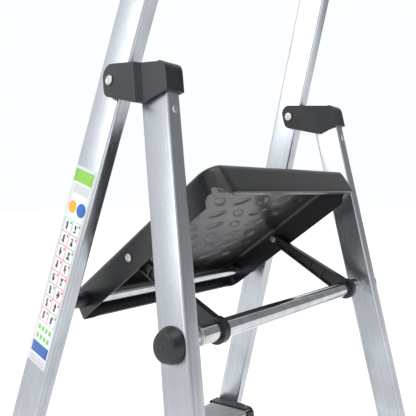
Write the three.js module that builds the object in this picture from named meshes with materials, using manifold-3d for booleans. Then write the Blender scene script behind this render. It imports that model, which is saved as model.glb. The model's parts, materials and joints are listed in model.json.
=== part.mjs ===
// Household step ladder with a folding platform: two aluminium frames hinged at the top,
// four steps (three ribbed treads and a pressed-steel platform) and a chromed crossbar that the
// platform comes down on. Millimetres, +Z up. X runs across the ladder, the rear legs are at +Y.
// The rest pose is half open: the platform is tilted up and the struts carry it from the crossbar.

import * as THREE from 'three';
import { mergeVertices } from 'three/addons/utils/BufferGeometryUtils.js';
import Module from 'manifold-3d';

const wasm = await Module();
wasm.setup();

// ---------------------------------------------------------------- driving dimensions

const rad = THREE.MathUtils.degToRad;

const STILE_LEAN = rad(18.0); // front stiles from the vertical, top leaning to the rear
const OPENING = rad(28.4); // between front stiles and rear legs at rest
const FULL_OPENING = rad(7.8); // what the legs still open from the rest pose
const SPLAY = Math.tan(rad(5.5)); // each side widens by this much per millimetre downwards

// half: outer face at the hinge's height; set: front face, from the hinge axis towards the rear
const STILE = { depth: 40, width: 17.5, wall: 1.6, corner: 3, half: 179, set: -26.7 };
const LEG = { depth: 36, width: 17.5, wall: 1.6, corner: 3, half: 177.5, set: 34.2 };
const STILE_LENGTH = 1360; // from the hinge axis down to the floor, along the stile
const STILE_TOP = 396; // from the hinge axis up to the stile's end
const LEG_TOP = -11; // top end of the rear legs, from the hinge axis
const STEP_PITCH = 281; // between treads, along the stile

const TREAD = { depth: 82, lip: 24, skin: 2.4, rib: 1.2, angle: rad(21.5), first: -525, front: -29 };
const BRACKET = { plate: 6, length: 19, rim: 2.6 };

const PIVOT = { y: -14.7, z: -254 }; // platform pivot in the front frame
const PIVOT_TO_STRUT = 93; // platform pivot to the struts' upper pivot
const STRUT_LINE = rad(0.5); // that line above the platform's plane
const STRUT_LENGTH = 131; // upper pivot to the crossbar's axis
const PLATFORM = {
  front: -22.4, rear: 241, top: 18.1, flange: 35, sheet: 1.6,
  halfFront: 152, halfRear: 147, frontCorner: 8, rearCorner: 22, hem: 4.5,
};

const CROSSBAR = { drop: -260, radius: 9.5, wall: 1.6, half: 168 };
const CLIP_PLAY = 0.35; // radial, between the crossbar and the struts' clips
const STRUT = { middle: 140, thick: 8, web: 3, eye: 6, clip: 3.55, wall: 2.4 };
const CLIP_RING = CROSSBAR.radius + CLIP_PLAY + STRUT.clip; // outer radius of a strut's clip
const KNOB = { base: 16.5, face: 13, height: 12 };
const TUBE = { radius: 8, bore: 6.2 };
const HANDLE = { over: 9.227, depth: 92, height: 46, middle: 397, recess: 14 }; // set level like the treads
const HANDLE_HALF = STILE.half - SPLAY * HANDLE.middle + HANDLE.over; // ends stand over the stiles
const BRACES = [-640, -990]; // rear braces, down the legs
const BRACE = { depth: 24, height: 16, wall: 1.6 };

const FOOT = { sole: 15, skirt: 3.5, height: 52 };
const SHANK = { hinge: 4, bolt: 4, strut: 3, brace: 3, bracket: 2.5, spigot: 6.3, screw: 2 }; // radii

const GAP = 0.3; // between pieces that touch
const RUN = 0.3; // radial clearance of a pin in its hole

const LEG_LEAN = OPENING - STILE_LEAN;
const LEG_MIDDLE = LEG.set + LEG.depth / 2;
const STILE_MIDDLE = STILE.set + STILE.depth / 2;
const STILE_REAR = STILE.set + STILE.depth;
// Height of the hinge above the floor, and the legs' length down to it.
const STAND = STILE_LENGTH * Math.cos(STILE_LEAN) + STILE_MIDDLE * Math.sin(STILE_LEAN);
const LEG_LENGTH = (STAND + LEG_MIDDLE * Math.sin(LEG_LEAN)) / Math.cos(LEG_LEAN);
const ARC = 3; // segments of a rounded corner
const ROUND = 28; // sides of a large round piece
const SMALL_ROUND = 12; // sides of a rivet

// ---------------------------------------------------------------- materials

const finish = (color, metalness, roughness) => () =>
  new THREE.MeshStandardMaterial({ color, metalness, roughness });

const ALUMINIUM = finish(0xb9bec3, 0.9, 0.36);
const TREAD_ALUMINIUM = finish(0xc3c6c9, 0.9, 0.42);
const BLACK_PLASTIC = finish(0x26282b, 0, 0.45);
const POWDER_BLACK = finish(0x2c2d30, 0.1, 0.5);
const CHROME = finish(0xd9dce0, 1, 0.12);
const ZINC = finish(0xa9adb0, 0.9, 0.32);
const RUBBER = finish(0x1f2022, 0, 0.8);

// ---------------------------------------------------------------- geometry helpers

function toSolid(geometry) {
  const bare = geometry.clone();
  bare.deleteAttribute('normal');
  bare.deleteAttribute('uv');
  const merged = mergeVertices(bare, 1e-4);
  return new wasm.Manifold(new wasm.Mesh({
    numProp: 3,
    vertProperties: Float32Array.from(merged.attributes.position.array),
    triVerts: Uint32Array.from(merged.index.array),
  }));
}

function fromSolid(solid) {
  const mesh = solid.getMesh();
  const geometry = new THREE.BufferGeometry();
  const positions = new Float32Array(mesh.numVert * 3);
  for (let i = 0; i < mesh.numVert; i += 1) {
    for (let k = 0; k < 3; k += 1) positions[3 * i + k] = mesh.vertProperties[i * mesh.numProp + k];
  }
  geometry.setAttribute('position', new THREE.BufferAttribute(positions, 3));
  geometry.setIndex(new THREE.BufferAttribute(Uint32Array.from(mesh.triVerts), 1));
  geometry.computeVertexNormals();
  return geometry;
}

const cut = (geometry, ...tools) =>
  fromSolid(tools.reduce((solid, tool) => solid.subtract(toSolid(tool)), toSolid(geometry)));

const join = (geometry, ...others) =>
  fromSolid(others.reduce((solid, other) => solid.add(toSolid(other)), toSolid(geometry)));

// Outline in the (y, z) side view, carried along X from x0 to x1.
function extrudeAcross(shape, x0, x1) {
  const options = { depth: x1 - x0, bevelEnabled: false, curveSegments: ARC };
  const geometry = new THREE.ExtrudeGeometry(shape, options);
  const across = new THREE.Matrix4().set(0, 0, 1, x0, 1, 0, 0, 0, 0, 1, 0, 0, 0, 0, 0, 1);
  return geometry.applyMatrix4(across);
}

// Outline in the (x, y) plan, carried up from z0 to z1.
function extrudeUp(shape, z0, z1) {
  const options = { depth: z1 - z0, bevelEnabled: false, curveSegments: ARC };
  const geometry = new THREE.ExtrudeGeometry(shape, options);
  return geometry.translate(0, 0, z0);
}

function polygon(points) {
  return new THREE.Shape(points.map(([u, v]) => new THREE.Vector2(u, v)));
}

// Rectangle u0..u1 by v0..v1 with corners of radius r.
function roundedRectangle(u0, u1, v0, v1, r) {
  const shape = new THREE.Shape();
  shape.absarc(u1 - r, v0 + r, r, -Math.PI / 2, 0, false);
  shape.absarc(u1 - r, v1 - r, r, 0, Math.PI / 2, false);
  shape.absarc(u0 + r, v1 - r, r, Math.PI / 2, Math.PI, false);
  shape.absarc(u0 + r, v0 + r, r, Math.PI, 1.5 * Math.PI, false);
  shape.closePath();
  return shape;
}

function box(x0, x1, y0, y1, z0, z1) {
  return new THREE.BoxGeometry(x1 - x0, y1 - y0, z1 - z0)
    .translate((x0 + x1) / 2, (y0 + y1) / 2, (z0 + z1) / 2);
}

// Profile [x, radius] turned round the X axis, then moved to (y, z).
function turned(profile, y = 0, z = 0, sides = SMALL_ROUND) {
  const points = profile.map(([x, r]) => new THREE.Vector2(r, x));
  if (THREE.ShapeUtils.area(points) < 0) points.reverse();
  return new THREE.LatheGeometry(points, sides).rotateZ(-Math.PI / 2).translate(0, y, z);
}

const drill = (x0, x1, radius, y, z, sides = SMALL_ROUND) =>
  turned([[x0, 0], [x0, radius], [x1, radius], [x1, 0]], y, z, sides);

// Leans a side piece: x = 0 is the member's outer face, which moves outwards on the way down.
const splayed = (geometry, half) =>
  geometry.applyMatrix4(new THREE.Matrix4().set(1, 0, -SPLAY, half, 0, 1, 0, 0, 0, 0, 1, 0, 0, 0, 0, 1));

// Takes a piece from x = -1..1 to the faces that lie at +-halfAt(z).
function stretchedBetween(geometry, halfAt) {
  const position = geometry.attributes.position;
  for (let i = 0; i < position.count; i += 1) {
    position.setX(i, position.getX(i) * halfAt(position.getZ(i)));
  }
  return geometry;
}

function mirrored(geometry) {
  const other = geometry.clone().scale(-1, 1, 1);
  const index = other.index ? other.index.array : [...Array(other.attributes.position.count).keys()];
  const flipped = [];
  for (let i = 0; i < index.length; i += 3) flipped.push(index[i], index[i + 2], index[i + 1]);
  other.setIndex(flipped);
  return other;
}

function add(group, name, geometry, material) {
  const mesh = new THREE.Mesh(geometry, material());
  mesh.name = name;
  group.add(mesh);
}

function addPair(group, name, geometry, material) {
  add(group, `${name}_right`, geometry, material);
  add(group, `${name}_left`, mirrored(geometry), material);
}

// Rivet along X: head outside x = 0, shank through to depth, a set head on its inner end.
function rivet(y, z, head, headHeight, shank, depth, tail) {
  return turned([
    [GAP + headHeight, 0], [GAP + headHeight, head * 0.55], [GAP + headHeight * 0.45, head], [GAP, head],
    [GAP, shank], [-depth, shank], [-depth, tail], [-depth - 1.6, tail], [-depth - 1.6, 0],
  ], y, z);
}

// Rectangular tube standing along Z, outer face at x = 0.
function tubeMember(size, y0, z0, z1) {
  const outline = roundedRectangle(-size.width, 0, y0, y0 + size.depth, size.corner);
  const w = size.wall;
  const bore = roundedRectangle(-size.width + w, -w, y0 + w, y0 + size.depth - w, size.corner - w);
  outline.holes.push(new THREE.Path(bore.getPoints(ARC).reverse()));
  return extrudeUp(outline, z0, z1);
}

// Boot round the lower end of a member, cut level with the floor.
function foot(size, y0, floorAt, slope) {
  const { sole, skirt, height } = FOOT;
  const ya = y0 - skirt;
  const yb = y0 + size.depth + skirt;
  const middle = (ya + yb) / 2;
  const ground = (y) => floorAt + (y - middle) * slope;
  const upper = floorAt + height;
  const outline = polygon([[ya, ground(ya)], [yb, ground(yb)], [yb, upper], [ya, upper]]);
  const boot = extrudeAcross(outline, -size.width - skirt, skirt);
  const socket = box(-size.width - GAP, GAP, y0 - GAP, y0 + size.depth + GAP,
    floorAt + sole, upper + 1);
  return cut(boot, socket);
}

// ---------------------------------------------------------------- linkage (side view)

// All four pivots in the side view at a given further opening of the legs: hinge at (0, 0).
function linkage(opening) {
  const turn = new THREE.Vector2();
  const fromFrame = (y, z, lean) => new THREE.Vector2(y, z).rotateAround(turn, lean);
  const pivot = fromFrame(PIVOT.y, PIVOT.z, -STILE_LEAN);
  const bar = fromFrame(LEG_MIDDLE, CROSSBAR.drop, LEG_LEAN + opening);
  const reach = bar.clone().sub(pivot);
  const side = reach.length();
  const opposite = PIVOT_TO_STRUT ** 2 + side ** 2 - STRUT_LENGTH ** 2;
  const corner = Math.acos(opposite / (2 * PIVOT_TO_STRUT * side));
  const line = Math.atan2(reach.y, reach.x) + corner;
  const strutPivot = new THREE.Vector2(PIVOT_TO_STRUT, 0).rotateAround(turn, line).add(pivot);
  const rise = strutPivot.clone().sub(bar);
  return { pivot, bar, tilt: line - STRUT_LINE, strutAngle: Math.atan2(-rise.y, -rise.x) };
}

const REST = linkage(0);
const OPEN = linkage(FULL_OPENING);
// Where the crossbar lies in the platform's own axes when the ladder is fully open.
const SEAT = OPEN.bar.clone().sub(OPEN.pivot).rotateAround(new THREE.Vector2(), -OPEN.tilt);

// ---------------------------------------------------------------- front frame

function treadOutline() {
  const { depth, lip, skin, rib } = TREAD;
  const nose = 4;
  const ribPitch = 6;
  const points = [[skin, -lip], [0, -lip], [0, -nose], [1.2, -1.2], [nose, 0]];
  for (let y = nose + 3; y < depth - nose - 3; y += ribPitch) {
    points.push([y, 0], [y + 0.6, rib], [y + 2.4, rib], [y + 3, 0]);
  }
  points.push([depth - nose, 0], [depth - 1.2, -1.2], [depth, -nose], [depth, -lip * 0.75]);
  points.push([depth - skin, -lip * 0.75], [depth - skin, -nose], [depth - nose, -skin]);
  points.push([depth * 0.56, -skin], [depth * 0.56, -lip * 0.6], [depth * 0.56 - 1.8, -lip * 0.6]);
  points.push([depth * 0.56 - 1.8, -skin], [nose, -skin], [skin, -nose]);
  return polygon(points);
}

const atTread = (geometry, z) => geometry.rotateX(TREAD.angle).translate(0, TREAD.front, z);

function bracketPiece(z) {
  const { depth, lip, rib } = TREAD;
  const { plate, length, rim } = BRACKET;
  const inside = -STILE.width - GAP;
  const outline = new THREE.Shape();
  const [u0, u1, v0, v1] = [-rim - 0.4, depth + rim + 0.4, -lip - rim - 0.4, rib + rim * 0.6];
  outline.absarc(u1 - 12, v0 + 12, 12, -Math.PI / 2, 0, false);
  outline.absarc(u1 - 10, v1 - 10, 10, 0, Math.PI / 2, false);
  outline.absarc(u0 + 4, v1 - 4, 4, Math.PI / 2, Math.PI, false);
  outline.absarc(u0 + 6, v0 + 6, 6, Math.PI, 1.5 * Math.PI, false);
  outline.closePath();
  const cup = extrudeAcross(outline, inside - length, inside);
  const pocket = roundedRectangle(-0.4, depth + 0.4, -lip - 0.4, rib + 0.4, 0.8);
  const hollow = extrudeAcross(pocket, inside - length - 1, inside - plate);
  // Behind the stile the bracket is thinner, so that the folded rear leg passes outside it.
  const legInner = LEG.half - LEG.width - STILE.half;
  const relief = box(legInner - 1.3, 0, LEG.set - 4, 90, z - 90, z + 90);
  return cut(atTread(cut(cup, hollow), z), relief);
}

// Two rivets hold each bracket to its stile; places along and below the tread's top.
const BRACKET_RIVETS = [{ along: 15, below: 12 }, { along: 34, below: 12 }];
const bracketRivetAt = ({ along, below }, z) => {
  const place = new THREE.Vector2(along, -below).rotateAround(new THREE.Vector2(), TREAD.angle);
  return [place.x + TREAD.front, place.y + z];
};

const TREAD_HEIGHTS = [0, 1, 2].map((i) => TREAD.first - i * STEP_PITCH);
const HANDLE_RIVET = HANDLE.middle - 12; // height of the rivets that hold the handle
const innerHalf = (z) => STILE.half - STILE.width - SPLAY * z;

function frontFrame() {
  const frame = new THREE.Group();
  const through = STILE.width + 2;
  const rivetShank = SHANK.bracket;

  const holes = [
    drill(-through, 2, SHANK.hinge + RUN, 0, 0),
    drill(-through, -STILE.width + STILE.wall + 1, SHANK.bolt + RUN, PIVOT.y, PIVOT.z),
    drill(-4, 2, rivetShank + RUN, STILE_MIDDLE, HANDLE_RIVET),
  ];
  for (const z of TREAD_HEIGHTS) {
    for (const place of BRACKET_RIVETS) {
      holes.push(drill(-through, 2, rivetShank + RUN, ...bracketRivetAt(place, z)));
    }
  }
  const stile = tubeMember(STILE, STILE.set, -STILE_LENGTH + FOOT.sole + GAP, STILE_TOP);
  addPair(frame, 'front_stile', splayed(cut(stile, ...holes), STILE.half), ALUMINIUM);

  const frontFoot = foot(STILE, STILE.set, -STILE_LENGTH, Math.tan(STILE_LEAN));
  addPair(frame, 'front_foot', splayed(frontFoot, STILE.half), RUBBER);

  TREAD_HEIGHTS.forEach((z, i) => {
    const step = 3 - i;
    const board = atTread(extrudeAcross(treadOutline(), -1, 1), z);
    const end = BRACKET.plate + 2 * GAP + 0.1;
    add(frame, `tread_${step}`, stretchedBetween(board, (at) => innerHalf(at) - end), TREAD_ALUMINIUM);
    const plateHoles = BRACKET_RIVETS.map((place) =>
      drill(-STILE.width - 8, -STILE.width, rivetShank + RUN, ...bracketRivetAt(place, z)));
    const bracket = cut(bracketPiece(z), ...plateHoles);
    addPair(frame, `tread_bracket_${step}`, splayed(bracket, STILE.half), BLACK_PLASTIC);
    BRACKET_RIVETS.forEach((place, k) => {
      const depth = STILE.width + BRACKET.plate + 2 * GAP;
      const pin = rivet(...bracketRivetAt(place, z), 5, 2, rivetShank, depth, 3.8);
      addPair(frame, `tread_rivet_${step}${'ab'[k]}`, splayed(pin, STILE.half), ZINC);
    });
  });

  add(frame, 'top_handle', topHandle(), BLACK_PLASTIC);
  const intoStile = HANDLE_HALF - (STILE.half - SPLAY * HANDLE_RIVET) + 4;
  const handleRivet = rivet(STILE_MIDDLE, HANDLE_RIVET, 5, 2, rivetShank, intoStile, rivetShank);
  addPair(frame, 'handle_rivet', handleRivet.translate(HANDLE_HALF, 0, 0), ZINC);

  const boltEnd = 125; // half the space between the two bolts' inner ends
  const face = STILE.half - SPLAY * PIVOT.z;
  // Its head is inside the stile, against the inner wall.
  const headAt = -STILE.width + STILE.wall + GAP;
  const bolt = turned([
    [headAt + 5, 0], [headAt + 5, 6], [headAt + 4, 7], [headAt, 7], [headAt, SHANK.bolt],
    [boltEnd - face, SHANK.bolt], [boltEnd - face, 0],
  ], PIVOT.y, PIVOT.z);
  addPair(frame, 'platform_bolt', splayed(bolt, STILE.half), ZINC);

  const trayHalf = halfWidthAt(0);
  const spacer = drill(-60, -STILE.width - GAP, 9, PIVOT.y, PIVOT.z);
  const bore = drill(-61, 0, SHANK.bolt + RUN, PIVOT.y, PIVOT.z);
  const beyond = box(-61, trayHalf + 0.7, PIVOT.y - 20, PIVOT.y + 20, PIVOT.z - 20, PIVOT.z + 20);
  addPair(frame, 'platform_spacer', cut(splayed(cut(spacer, bore), STILE.half), beyond), BLACK_PLASTIC);

  frame.rotation.x = -STILE_LEAN;
  return frame;
}

function topHandle() {
  const { depth, height, middle, recess } = HANDLE;
  const half = HANDLE_HALF;
  const floor = 5;
  const wall = 4;
  const [y0, y1] = [-depth / 2, depth / 2];
  const [z0, z1] = [-height / 2, height / 2];
  const level = (geometry) => geometry.rotateX(TREAD.angle).translate(0, STILE_MIDDLE, middle);
  const solid = level(extrudeAcross(roundedRectangle(y0, y1, z0, z1, 9), -half, half));
  const socket = splayed(box(-STILE.width - GAP, GAP, STILE.set - GAP, STILE_REAR + GAP,
    middle - 60, STILE_TOP + GAP), STILE.half);
  const inner = STILE.half - STILE.width - SPLAY * STILE_TOP - 6;
  const under = level(extrudeAcross(roundedRectangle(y0 + wall, y1 - wall, z0 - 20, z1 - recess - floor, 6),
    -inner, inner));
  const tray = level(extrudeAcross(roundedRectangle(y0 + wall, y1 - wall, z1 - recess, z1 + 20, 5),
    -half + 12, half - 12));
  const hole = drill(100, half + 2, SHANK.bracket + RUN, STILE_MIDDLE, HANDLE_RIVET);
  return cut(solid, socket, mirrored(socket), under, tray, hole, mirrored(hole));
}

// ---------------------------------------------------------------- rear frame

function hingeCap() {
  const ear = { inner: -19.8, outer: 8.3, wall: 4 };
  const gapSide = 1.3;
  const skirt = 3;
  const legRear = LEG.set + LEG.depth;
  const stileOuter = STILE.half - LEG.half;
  const outline = new THREE.Shape();
  const rear = legRear + skirt;
  outline.absarc(0, -7, 10.5, rad(235), Math.PI, true);
  outline.absarc(1, 5, 11.5, Math.PI, rad(71), true);
  outline.lineTo(rear - 10, -2.2);
  outline.absarc(rear - 11, -12.5, 11, rad(71), 0, true);
  outline.lineTo(rear, -33);
  outline.lineTo(legRear - 12, -34);
  outline.lineTo(LEG.set + 8, -36.5);
  outline.lineTo(LEG.set - 1, -34);
  outline.closePath();
  const block = extrudeAcross(outline, -LEG.width - skirt, ear.outer);
  // The outer face steps in towards the leg along a slope.
  const ramp = [[skirt, LEG.set + 7], [skirt, 100], [20, 100], [20, LEG.set - 10]];
  const joggle = extrudeUp(polygon(ramp), -60, 60);
  const legPocket = box(-LEG.width - GAP, GAP, LEG.set - GAP, legRear + GAP, -60, LEG_TOP + GAP);
  const sweep = [0, 0.25, 0.5, 0.75, 1].map((part) => {
    const turn = part * (OPENING + FULL_OPENING + rad(1));
    const clear = 0.9;
    return box(stileOuter - STILE.width - gapSide, stileOuter + gapSide,
      STILE.set - clear, STILE_REAR + clear, -60, 60).rotateX(-turn);
  });
  const pinHole = drill(-30, 20, SHANK.hinge + RUN, 0, 0);
  return splayed(cut(block, joggle, legPocket, ...sweep, pinHole), LEG.half);
}

function rearFrame() {
  const frame = new THREE.Group();
  const barAt = [LEG_MIDDLE, CROSSBAR.drop];
  const legRear = LEG.set + LEG.depth;
  const screw = { z: -50, x: -LEG.width / 2 };
  const across = LEG.width + 2;

  const leg = tubeMember(LEG, LEG.set, -LEG_LENGTH + FOOT.sole + GAP, LEG_TOP);
  const spigotRadius = SHANK.spigot;
  const screwHole = new THREE.CylinderGeometry(SHANK.screw + RUN, SHANK.screw + RUN, 8, SMALL_ROUND)
    .translate(screw.x, legRear, screw.z);
  const legHoles = [drill(-across, 2, spigotRadius + RUN, ...barAt), screwHole];
  for (const z of BRACES) legHoles.push(drill(-across, 2, SHANK.brace + RUN, LEG_MIDDLE, z));
  addPair(frame, 'rear_leg', splayed(cut(leg, ...legHoles), LEG.half), ALUMINIUM);

  addPair(frame, 'hinge_cap', hingeCap(), BLACK_PLASTIC);
  const pin = turned([
    [10.6, 0], [10.6, 3.8], [9.8, 5.2], [8.6, 5.2], [8.6, SHANK.hinge],
    [-21.4, SHANK.hinge], [-21.4, 6], [-23, 6], [-23, 0],
  ]);
  addPair(frame, 'hinge_pin', splayed(pin, LEG.half), ZINC);
  const screwProfile = [[0, -4], [SHANK.screw, -4], [SHANK.screw, 0], [4, 0], [3.4, 1.2], [0, 1.6]];
  const screwPoints = screwProfile.map(([r, h]) => new THREE.Vector2(r, h));
  const screwBody = new THREE.LatheGeometry(screwPoints, SMALL_ROUND)
    .translate(screw.x, legRear + GAP, screw.z);
  addPair(frame, 'cap_screw', splayed(screwBody, LEG.half), ZINC);

  const rearFoot = foot(LEG, LEG.set, -LEG_LENGTH, -Math.tan(LEG_LEAN));
  addPair(frame, 'rear_foot', splayed(rearFoot, LEG.half), RUBBER);

  const legFace = LEG.half - SPLAY * CROSSBAR.drop;
  // The spigots stop at the bar's ends: this is the linkage's open pivot.
  const { half, radius } = CROSSBAR;
  const spigot = turned([
    [half + GAP, 0], [half + GAP, radius], [half + 2, radius], [half + 4, spigotRadius],
    [legFace + 8, spigotRadius], [legFace + 8, 0],
  ], ...barAt, ROUND);
  addPair(frame, 'crossbar_spigot', spigot, ZINC);

  const bore = spigotRadius + RUN;
  const knob = turned([
    [GAP, bore], [GAP, KNOB.base - 0.8], [1, KNOB.base], [3, KNOB.base], [KNOB.height - 2, KNOB.face + 0.6],
    [KNOB.height - 0.6, KNOB.face - 1], [KNOB.height, KNOB.face - 4], [KNOB.height + 0.8, 0],
    [9.2, 0], [9.2, bore], [GAP, bore],
  ], ...barAt, ROUND);
  addPair(frame, 'crossbar_knob', splayed(knob, LEG.half), BLACK_PLASTIC);

  BRACES.forEach((z, i) => {
    const outline = roundedRectangle(LEG_MIDDLE - BRACE.depth / 2, LEG_MIDDLE + BRACE.depth / 2,
      z - BRACE.height / 2, z + BRACE.height / 2, 3);
    const { depth, height, wall } = BRACE;
    const bore = roundedRectangle(LEG_MIDDLE - depth / 2 + wall, LEG_MIDDLE + depth / 2 - wall,
      z - height / 2 + wall, z + height / 2 - wall, 1.4);
    outline.holes.push(new THREE.Path(bore.getPoints(ARC).reverse()));
    const between = (at) => LEG.half - LEG.width - GAP - SPLAY * at;
    add(frame, `rear_brace_${2 - i}`, stretchedBetween(extrudeAcross(outline, -1, 1), between), ALUMINIUM);
    const pinned = rivet(LEG_MIDDLE, z, 6.5, 2.4, SHANK.brace, LEG.width + 8, SHANK.brace);
    addPair(frame, `brace_rivet_${2 - i}`, splayed(pinned, LEG.half), ZINC);
  });

  frame.rotation.x = LEG_LEAN;
  return frame;
}

// ---------------------------------------------------------------- platform

function halfWidthAt(y) {
  const { front, rear, halfFront, halfRear } = PLATFORM;
  return halfFront + ((y - front) / (rear - front)) * (halfRear - halfFront);
}

// Plan outline of the tray, pulled in by inset on every side (and by more at front and rear).
function trayOutline(inset, ends = inset) {
  const { front, rear, frontCorner, rearCorner } = PLATFORM;
  const [y0, y1] = [front + ends, rear - ends];
  const [w0, w1] = [halfWidthAt(front) - inset, halfWidthAt(rear) - inset];
  const r0 = Math.max(frontCorner - ends, 2);
  const r1 = Math.max(rearCorner - ends, 2);
  const shape = new THREE.Shape();
  shape.absarc(w0 - r0, y0 + r0, r0, -Math.PI / 2, 0, false);
  shape.absarc(w1 - r1, y1 - r1, r1, 0, Math.PI / 2, false);
  shape.absarc(-w1 + r1, y1 - r1, r1, Math.PI / 2, Math.PI, false);
  shape.absarc(-w0 + r0, y0 + r0, r0, Math.PI, 1.5 * Math.PI, false);
  shape.closePath();
  return shape;
}

const STRUT_PIVOT = new THREE.Vector2(PIVOT_TO_STRUT, 0).rotateAround(new THREE.Vector2(), STRUT_LINE);

function platformTray() {
  const { top, flange, sheet, hem } = PLATFORM;
  const bottom = top - flange;
  const shell = extrudeUp(trayOutline(0), bottom, top);
  const inside = extrudeUp(trayOutline(sheet), bottom + sheet, top - sheet);
  const mouth = extrudeUp(trayOutline(sheet, sheet + hem), bottom - 1, bottom + sheet + 0.5);
  const reach = 200;
  const seat = CROSSBAR.radius + 0.5;
  const notch = new THREE.Shape();
  notch.absarc(SEAT.x, SEAT.y, seat, 0, Math.PI, false);
  notch.lineTo(SEAT.x - seat - 4, SEAT.y - seat);
  notch.lineTo(SEAT.x + seat + 2, SEAT.y - seat);
  notch.closePath();
  // The flange's rear corner is also cut away round the strut's clip.
  const clipSide = [STRUT.middle - STRUT.thick / 2 - 0.6, STRUT.middle + STRUT.thick / 2 + 0.6];
  const relief = drill(...clipSide, CLIP_RING + 0.8, SEAT.x, SEAT.y);
  const holes = [
    relief,
    mirrored(relief),
    extrudeAcross(notch, -reach, reach),
    drill(-reach, reach, 4.6, 0, 0),
    drill(-reach, reach, SHANK.strut + RUN, STRUT_PIVOT.x, STRUT_PIVOT.y),
  ];
  return cut(shell, inside, mouth, ...holes);
}

// Shouldered rivet through the side flange and the strut's eye.
function strutRivet() {
  const outside = halfWidthAt(STRUT_PIVOT.x) + GAP;
  const inside = outside - PLATFORM.sheet - 2 * GAP;
  const near = STRUT.middle + STRUT.thick / 2 + GAP;
  const far = STRUT.middle - STRUT.thick / 2 - GAP;
  const shank = SHANK.strut;
  return turned([
    [outside + 1.8, 0], [outside + 1.8, 2.8], [outside + 0.8, 4.6], [outside, 4.6], [outside, shank],
    [inside, shank], [inside, 5], [near, 5], [near, shank], [far, shank], [far, 4.6], [far - 1.6, 4.6],
    [far - 1.6, 0],
  ], STRUT_PIVOT.x, STRUT_PIVOT.y);
}

function platform() {
  const group = new THREE.Group();
  add(group, 'platform_tray', platformTray(), POWDER_BLACK);
  addPair(group, 'strut_rivet', strutRivet(), ZINC);
  const half = halfWidthAt(0) - PLATFORM.sheet - 0.9;
  const tube = turned([
    [-half, TUBE.bore], [-half, TUBE.radius], [half, TUBE.radius], [half, TUBE.bore], [-half, TUBE.bore],
  ], 0, 0, ROUND);
  add(group, 'pivot_tube', tube, CHROME);
  group.position.set(0, REST.pivot.x, REST.pivot.y);
  group.rotation.x = REST.tilt;
  return group;
}

// ---------------------------------------------------------------- crossbar and struts

// Strut in its own side view: crossbar axis at the origin, upper pivot at y = -STRUT_LENGTH.
function strutPiece() {
  const { thick, web, eye, wall } = STRUT;
  const ring = CLIP_RING;
  const bore = CROSSBAR.radius + CLIP_PLAY;
  const arm = new THREE.Shape();
  arm.absarc(-STRUT_LENGTH, 0, eye, 0.5 * Math.PI, 1.5 * Math.PI, false);
  arm.lineTo(-8, -ring + 2.4);
  arm.lineTo(-8, ring - 2.4);
  arm.closePath();
  const body = extrudeAcross(arm, -thick / 2, thick / 2);
  const clip = turned([[-thick / 2, 0], [-thick / 2, ring], [thick / 2, ring], [thick / 2, 0]], 0, 0, ROUND);
  const round = drill(-thick, thick, bore, 0, 0, ROUND);
  const eyeHole = drill(-thick, thick, SHANK.strut + RUN, -STRUT_LENGTH, 0);
  // The clip is open below and in front, between these two directions.
  const [from, to] = [rad(205), rad(262)];
  const far = 40;
  const mouth = extrudeAcross(polygon([
    [0, 0], [far * Math.cos(from), far * Math.sin(from)], [far * Math.cos(to), far * Math.sin(to)],
  ]), -thick, thick);
  const tools = [round, mouth, eyeHole];
  const heightAt = (y) => eye + ((y + STRUT_LENGTH) / (STRUT_LENGTH - 8)) * (ring - 2.4 - eye) - wall;
  const ribs = 5;
  const [start, end] = [-STRUT_LENGTH + eye + 3, -ring - 4];
  const bay = (end - start) / ribs;
  for (let i = 0; i < ribs; i += 1) {
    const [a, b] = [start + i * bay, start + (i + 1) * bay - 2.2];
    const pocket = polygon([[a, -heightAt(a)], [b, -heightAt(b)], [b, heightAt(b)], [a, heightAt(a)]]);
    tools.push(extrudeAcross(pocket, web / 2, thick), extrudeAcross(pocket, -thick, -web / 2));
  }
  return cut(join(body, clip), ...tools).translate(STRUT.middle, 0, 0);
}

function crossbarAndStruts() {
  const group = new THREE.Group();
  const inner = CROSSBAR.radius - CROSSBAR.wall;
  const { half, radius } = CROSSBAR;
  add(group, 'crossbar', turned([
    [-half, inner], [-half, radius - 0.8], [-half + 0.8, radius], [half - 0.8, radius], [half, radius - 0.8],
    [half, inner], [-half, inner],
  ], 0, 0, ROUND), CHROME);
  const struts = new THREE.Group();
  addPair(struts, 'strut', strutPiece(), BLACK_PLASTIC);
  struts.rotation.x = REST.strutAngle;
  group.add(struts);
  group.position.set(0, REST.bar.x, REST.bar.y);
  return group;
}

// ---------------------------------------------------------------- assembly

const assembly = new THREE.Group();
assembly.add(frontFrame(), rearFrame(), platform(), crossbarAndStruts());

// The origin goes to the middle of the ladder's footprint, on the floor.
const extent = new THREE.Box3().setFromObject(assembly, true);
const centre = extent.getCenter(new THREE.Vector3());
assembly.position.set(-centre.x, -centre.y, -extent.min.z);

const ladder = new THREE.Group();
ladder.add(assembly);
ladder.updateMatrixWorld(true);

export default ladder;
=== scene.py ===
# %% [markdown]
# # A folding step ladder with a platform
#
# Four bright aluminium legs, three ribbed treads, a black pressed-steel platform that tips up
# when the ladder folds, and a chromed crossbar that it comes down on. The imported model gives
# every place: the pivots come from its joints and the ends of pieces from its boxes. This
# script remakes the visible pieces as finer surfaces and gives everything its finish.

import json
import math

import bmesh
import bpy
import numpy as np
from mathutils import Matrix, Vector


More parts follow.
